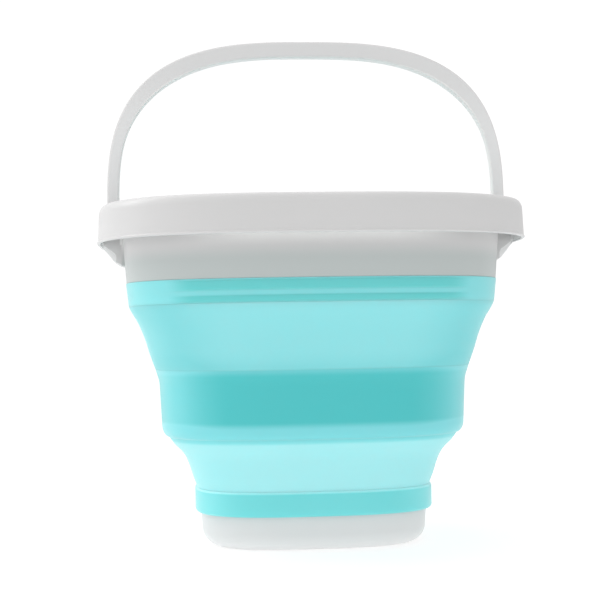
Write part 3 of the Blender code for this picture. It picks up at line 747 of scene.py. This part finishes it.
def painted_light_through(place, base):
    """Painted light: the collar is painted pale under the skirt, and so are the skirt's inner face and the
    ends of the webs. This stands in for light coming through the thin moulding into the shade there. The
    collar's foot is painted darker and a little green, as painted shade with a painted reflection of the aqua
    body. The bead and the cheeks stay as grey as the rim."""
    x, y, z = (coordinate(place, axis) for axis in range(3))
    middle = (z - COLLAR_BOTTOM) * COLLAR_LEAN + (COLLAR_LOW + TONGUE_OUTER) / 2
    collar = beyond(x, y, middle) * (1.0 - beyond(x, y, COLLAR_TOP + COLLAR_SKIN))
    foot = collar * z.step(*FOOT_FADE)
    pale = (collar * z.step(*PALE_FADE) * (1.0 - corners_of(place, *PALE_CORNER_TURNS))
            * z.step(*(CHANNEL_FLOOR - depth for depth in HOLLOW_FADE)))
    below_skirt = z.step(*(SKIRT_BOTTOM + shift for shift in SKIRT_FADE))
    from_middle = y.maths("ABSOLUTE")
    web_ends = x.maths("ABSOLUTE").step(*(COLLAR_TOP + shift for shift in WEB_START)) * below_skirt
    for fade in WEB_END_FADES:
        web_ends = web_ends * from_middle.step(*(WEB_WIDTH / 2 + shift for shift in fade))
    outside = beyond(x, y, SKIRT_OUTER - RIM_WALL * 2)
    bead = z.step(*(SKIRT_BOTTOM + shift for shift in BEAD_FADE)) * outside
    cheek = beyond(x, y, COLLAR_TOP + HOLLOW_SKIN) * below_skirt
    inner_skirt = (outside * (1.0 - beyond(x, y, SKIRT_OUTER - RIM_WALL / 2))
                   * z.step(*(SKIRT_BOTTOM + shift for shift in INNER_SKIRT_FADE)))
    lit = pale.tint(foot.tint(base, COLLAR_FOOT_SHADE_GREY), COLLAR_LIT_GREY)
    skirt = inner_skirt.tint(cheek.tint(lit, CHEEK_GREY), INNER_SKIRT_LIT_GREY)
    housing = web_ends.tint(skirt, WEB_END_LIT_GREY)
    return bead.tint(housing, BEAD_GREY)


rim_grey = grey_plastic("rim_grey", colour(206, 205, 205), colour(201, 201, 201), painted_light_through)
rim = finished_piece("rim_moulding", rim_bm, rim_grey)
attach(rim, "rim")
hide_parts("rim_frame")


# The bail
# A polypropylene strap that widens into the grip. Each end is a round eye with a split snap pin, pressed
# through the bore of its ear. It is bent along the channel's own outline, so that it folds down into it.
BAIL_HALF_WIDTH = 0.1488
LEG_WIDTH = 0.008
LEG_THICKNESS = 0.0087
GRIP_WIDTH = 0.010
GRIP_THICKNESS = 0.0116
GRIP_SHARES = (0.40, 0.92)
BAIL_EDGE = 0.0012
FLAT_INSET = 0.0015
BAIL_STEPS = 160
EYE_RADIUS = 0.0056
EYE_OUTER = 0.1483
EYE_INNER = 0.1401
EYE_EDGES = (0.0009, 0.0007)
PIN_RADIUS = 0.003
PIN_ROOT = 0.0003
PIN_OVERLAP = 0.0004
PIN_NECK = 0.0028
PIN_HEAD = 0.0041
PIN_HEAD_FACE = 0.1337
PIN_HEAD_EDGE = 0.0003
PIN_TIP = 0.1311
PIN_TIP_RADIUS = 0.0028
PIN_TIP_EDGE = 0.0005
PIN_SLIT = 0.0012
PIN_MERGE = 0.00002
STRAP_SKIN = 0.0006
# Painted light and shade on the strap: the paler legs, the darker outer faces and the near-white inner faces.
LEG_LIT_GREY = colour(228, 227, 227)
OUTER_SHADE_GREY = colour(200, 199, 199)
INNER_LIT_WHITE = colour(250, 245, 243)

bail_bm = bmesh.new()
strap_corners = [(BAIL_HALF_WIDTH, -LEG_WIDTH / 2), (BAIL_HALF_WIDTH, LEG_WIDTH / 2),
                 (BAIL_HALF_WIDTH - LEG_THICKNESS, LEG_WIDTH / 2),
                 (BAIL_HALF_WIDTH - LEG_THICKNESS, -LEG_WIDTH / 2)]
strap_section = []
for corner, following in zip(strap_corners, strap_corners[1:] + strap_corners[:1]):
    inset = (Vector(following) - Vector(corner)).normalized() * FLAT_INSET
    strap_section += [(*corner, BAIL_EDGE), (*(Vector(corner) + inset), 0.0),
                      (*(Vector(following) - inset), 0.0)]
draw_section(bail_bm, strap_section, lambda across, up: (across, up, 0.0))
end_face = bmesh.ops.contextual_create(bail_bm, geom=list(bail_bm.edges))["faces"]
bmesh.ops.spin(bail_bm, geom=list(bail_bm.verts) + list(bail_bm.edges) + end_face, cent=(0.0, 0.0, 0.0),
               axis=(0.0, -1.0, 0.0), angle=pi, steps=BAIL_STEPS, use_duplicate=False)
for vert in bail_bm.verts:
    angle = atan2(vert.co.z, vert.co.x)
    across = copysign(abs(cos(angle)) ** (2 / PLAN_POWER), cos(angle))
    rise = abs(sin(angle)) ** (2 / PLAN_POWER)
    share = min(max((rise - GRIP_SHARES[0]) / (GRIP_SHARES[1] - GRIP_SHARES[0]), 0.0), 1.0)
    share = share * share * (3 - 2 * share)
    depth = BAIL_HALF_WIDTH - hypot(vert.co.x, vert.co.z)
    if depth > LEG_THICKNESS / 2:
        depth += (GRIP_THICKNESS - LEG_THICKNESS) * share
    vert.co.x = (BAIL_HALF_WIDTH - depth) * across
    vert.co.y += copysign((GRIP_WIDTH - LEG_WIDTH) / 2 * share, vert.co.y)
    vert.co.z = PIVOT_HEIGHT + (BAIL_HALF_WIDTH - SIDE_DIFFERENCE - depth) * rise


def lathed_on_pivot(section, side):
    """A section of (x, radius) points turned about the bail's axis."""
    bm = bmesh.new()
    draw_section(bm, section, lambda across, up: (side * across, 0.0, PIVOT_HEIGHT + up), closed=False)
    bmesh.ops.spin(bm, geom=list(bm.verts) + list(bm.edges), cent=(0.0, 0.0, PIVOT_HEIGHT),
                   axis=(1.0, 0.0, 0.0), angle=2 * pi, steps=CIRCLE_STEPS, use_merge=True)
    bmesh.ops.remove_doubles(bm, verts=bm.verts, dist=PIN_MERGE)
    return bm


def add_to(bm, other):
    """Add one bmesh to another and free it."""
    mesh = bpy.data.meshes.new("joined")
    bmesh.ops.recalc_face_normals(other, faces=other.faces)
    other.to_mesh(mesh)
    other.free()
    bm.from_mesh(mesh)
    bpy.data.meshes.remove(mesh)


eye_section = [
    (EYE_OUTER, 0.0, 0.0),
    (EYE_OUTER, EYE_RADIUS, EYE_EDGES[0]),
    (EYE_INNER, EYE_RADIUS, EYE_EDGES[1]),
    (EYE_INNER, PIN_RADIUS, PIN_ROOT),
    (PIN_HEAD_FACE - PIN_OVERLAP, PIN_RADIUS, 0.0),
    (PIN_HEAD_FACE - PIN_OVERLAP, 0.0, 0.0),
]
head_section = [
    (PIN_HEAD_FACE + PIN_OVERLAP, 0.0, 0.0),
    (PIN_HEAD_FACE + PIN_OVERLAP, PIN_NECK, 0.0),
    (PIN_HEAD_FACE, PIN_NECK, 0.0),
    (PIN_HEAD_FACE, PIN_HEAD, PIN_HEAD_EDGE),
    (PIN_TIP, PIN_TIP_RADIUS, PIN_TIP_EDGE),
    (PIN_TIP, 0.0, 0.0),
]
for side in (-1, 1):
    add_to(bail_bm, lathed_on_pivot(eye_section, side))
    for half_side in (-1, 1):
        prong = lathed_on_pivot(head_section, side)
        bmesh.ops.bisect_plane(prong, geom=list(prong.verts) + list(prong.edges) + list(prong.faces),
                               plane_co=(0.0, 0.0, PIVOT_HEIGHT + half_side * PIN_SLIT / 2),
                               plane_no=(0.0, 0.0, half_side), clear_inner=True)
        bmesh.ops.holes_fill(prong, edges=[edge for edge in prong.edges if edge.is_boundary], sides=0)
        add_to(bail_bm, prong)


def painted_strap_light(place, base):
    """Painted light and shade: the strap's legs are painted paler, standing in for the light from the left.
    Its inner faces are painted near white, against the shade and aqua bounce under the strap. Its outer faces
    are painted as dark as the rim, against the light from the left."""
    x, z = coordinate(place, 0), height_of(place)
    grip_bottom, grip_top = (PIVOT_HEIGHT + (BAIL_HALF_WIDTH - SIDE_DIFFERENCE) * share
                             for share in GRIP_SHARES)
    thickness = z.step(grip_bottom, grip_top) * (GRIP_THICKNESS - LEG_THICKNESS) + LEG_THICKNESS
    up = (z - PIVOT_HEIGHT).maths("MAXIMUM", 0.0)
    legs = z.step(grip_top, grip_bottom).tint(base, LEG_LIT_GREY)
    outer = beyond(x, up, BAIL_HALF_WIDTH - STRAP_SKIN).tint(legs, OUTER_SHADE_GREY)
    from_inside = beyond(x, up, BAIL_HALF_WIDTH + STRAP_SKIN - thickness)
    return from_inside.tint(INNER_LIT_WHITE, outer)


bail_grey = grey_plastic("bail_grey", colour(218, 217, 217), colour(214, 213, 213), painted_strap_light,
                         glow=0.0, grain_strength=0.05)
bail = finished_piece("bail_strap", bail_bm, bail_grey)
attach(bail, "bail")
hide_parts("bail_handle")


# The studio
# A pale floor, lit a little from below, without a visible edge, in a white surround that is darker on
# the right, in front and behind. A tall soft light stands at the left and another hangs above.
FLOOR_RADIUS = 6.0
FLOOR_STEPS = 96
BACKDROP_SEEN = 1.05
SURROUND = 0.94
LEFT_GAIN = 0.07
TOP_GAIN = 0.1
FRONT_FLAG = (0.62, 0.78, 0.2)
BACK_FLAG = (0.8, 0.6, 0.3)
BACK_FLAG_FALL = 1.5
CAMERA_PLACE = (-0.0899, -1.007, 0.1552)
CAMERA_LENS = 80.9
CAMERA_ROLL = radians(-0.97)
CAMERA_SHIFT = (-9.9, 31.9)
IMAGE_SIZE = 600

floor_bm = bmesh.new()
bmesh.ops.create_circle(floor_bm, cap_ends=True, segments=FLOOR_STEPS, radius=FLOOR_RADIUS)
floor_finish, _, floor_shader, _ = new_finish("floor_white")
floor_shader.inputs["Base Color"].default_value = (0.5, 0.5, 0.5, 1.0)
floor_shader.inputs["Emission Color"].default_value = (1.0, 1.0, 1.0, 1.0)
floor_shader.inputs["Emission Strength"].default_value = 0.56
floor_shader.inputs["Roughness"].default_value = 0.7
floor = finished_piece("studio_floor", floor_bm, floor_finish)

world = bpy.data.worlds.new("studio_white")
world.use_nodes = True
surround = Flow(world.node_tree)
direction = surround.node("ShaderNodeTexCoord")
right, back, up = (coordinate(direction, axis) for axis in range(3))
front_flag = (right * FRONT_FLAG[0] - back * FRONT_FLAG[1]).maths("MAXIMUM", 0.0)
back_flag = ((right * BACK_FLAG[0] + back * BACK_FLAG[1]).maths("MAXIMUM", 0.0)
             * (1.0 - up * BACK_FLAG_FALL).maths("MAXIMUM", 0.0))
around = (right * -LEFT_GAIN + up.maths("MAXIMUM", 0.0) * TOP_GAIN + SURROUND
          - front_flag * front_flag * front_flag * FRONT_FLAG[2] - back_flag * back_flag * BACK_FLAG[2])
seen = surround.node("ShaderNodeLightPath")
background = world.node_tree.nodes["Background"]
background.inputs["Color"].default_value = (1.0, 1.0, 1.0, 1.0)
(around + seen * (BACKDROP_SEEN - around)).into(background, "Strength")
bpy.context.scene.world = world


def soft_light(name, place, aim, width, height, power):
    """A rectangular soft light that looks at one point."""
    lamp = bpy.data.lights.new(name, 'AREA')
    lamp.shape = 'RECTANGLE'
    lamp.size = width
    lamp.size_y = height
    lamp.energy = power
    holder = bpy.data.objects.new(name, lamp)
    bpy.context.scene.collection.objects.link(holder)
    holder.location = place
    holder.rotation_euler = (Vector(aim) - Vector(place)).to_track_quat('-Z', 'Y').to_euler()


soft_light("left_light", place=(-0.74, 0.09, 0.72), aim=(0.0, 0.0, 0.25), width=0.4, height=0.5, power=1.8)
soft_light("top_light", place=(-0.2, 0.1, 1.6), aim=(0.0, 0.0, 0.1), width=1.2, height=1.2, power=4.0)

camera_data = bpy.data.cameras.new("camera")
camera_data.lens = CAMERA_LENS
camera_data.sensor_width = 36.0
camera_data.shift_x, camera_data.shift_y = (shift / IMAGE_SIZE for shift in CAMERA_SHIFT)
camera = bpy.data.objects.new("camera", camera_data)
bpy.context.scene.collection.objects.link(camera)
camera.location = CAMERA_PLACE
level_look = Vector((-CAMERA_PLACE[0], -CAMERA_PLACE[1], 0.0)).to_track_quat('-Z', 'Y').to_matrix().to_4x4()
camera.rotation_euler = (level_look @ Matrix.Rotation(CAMERA_ROLL, 4, 'Z')).to_euler()
bpy.context.scene.camera = camera
bpy.context.scene.view_settings.view_transform = 'Standard'
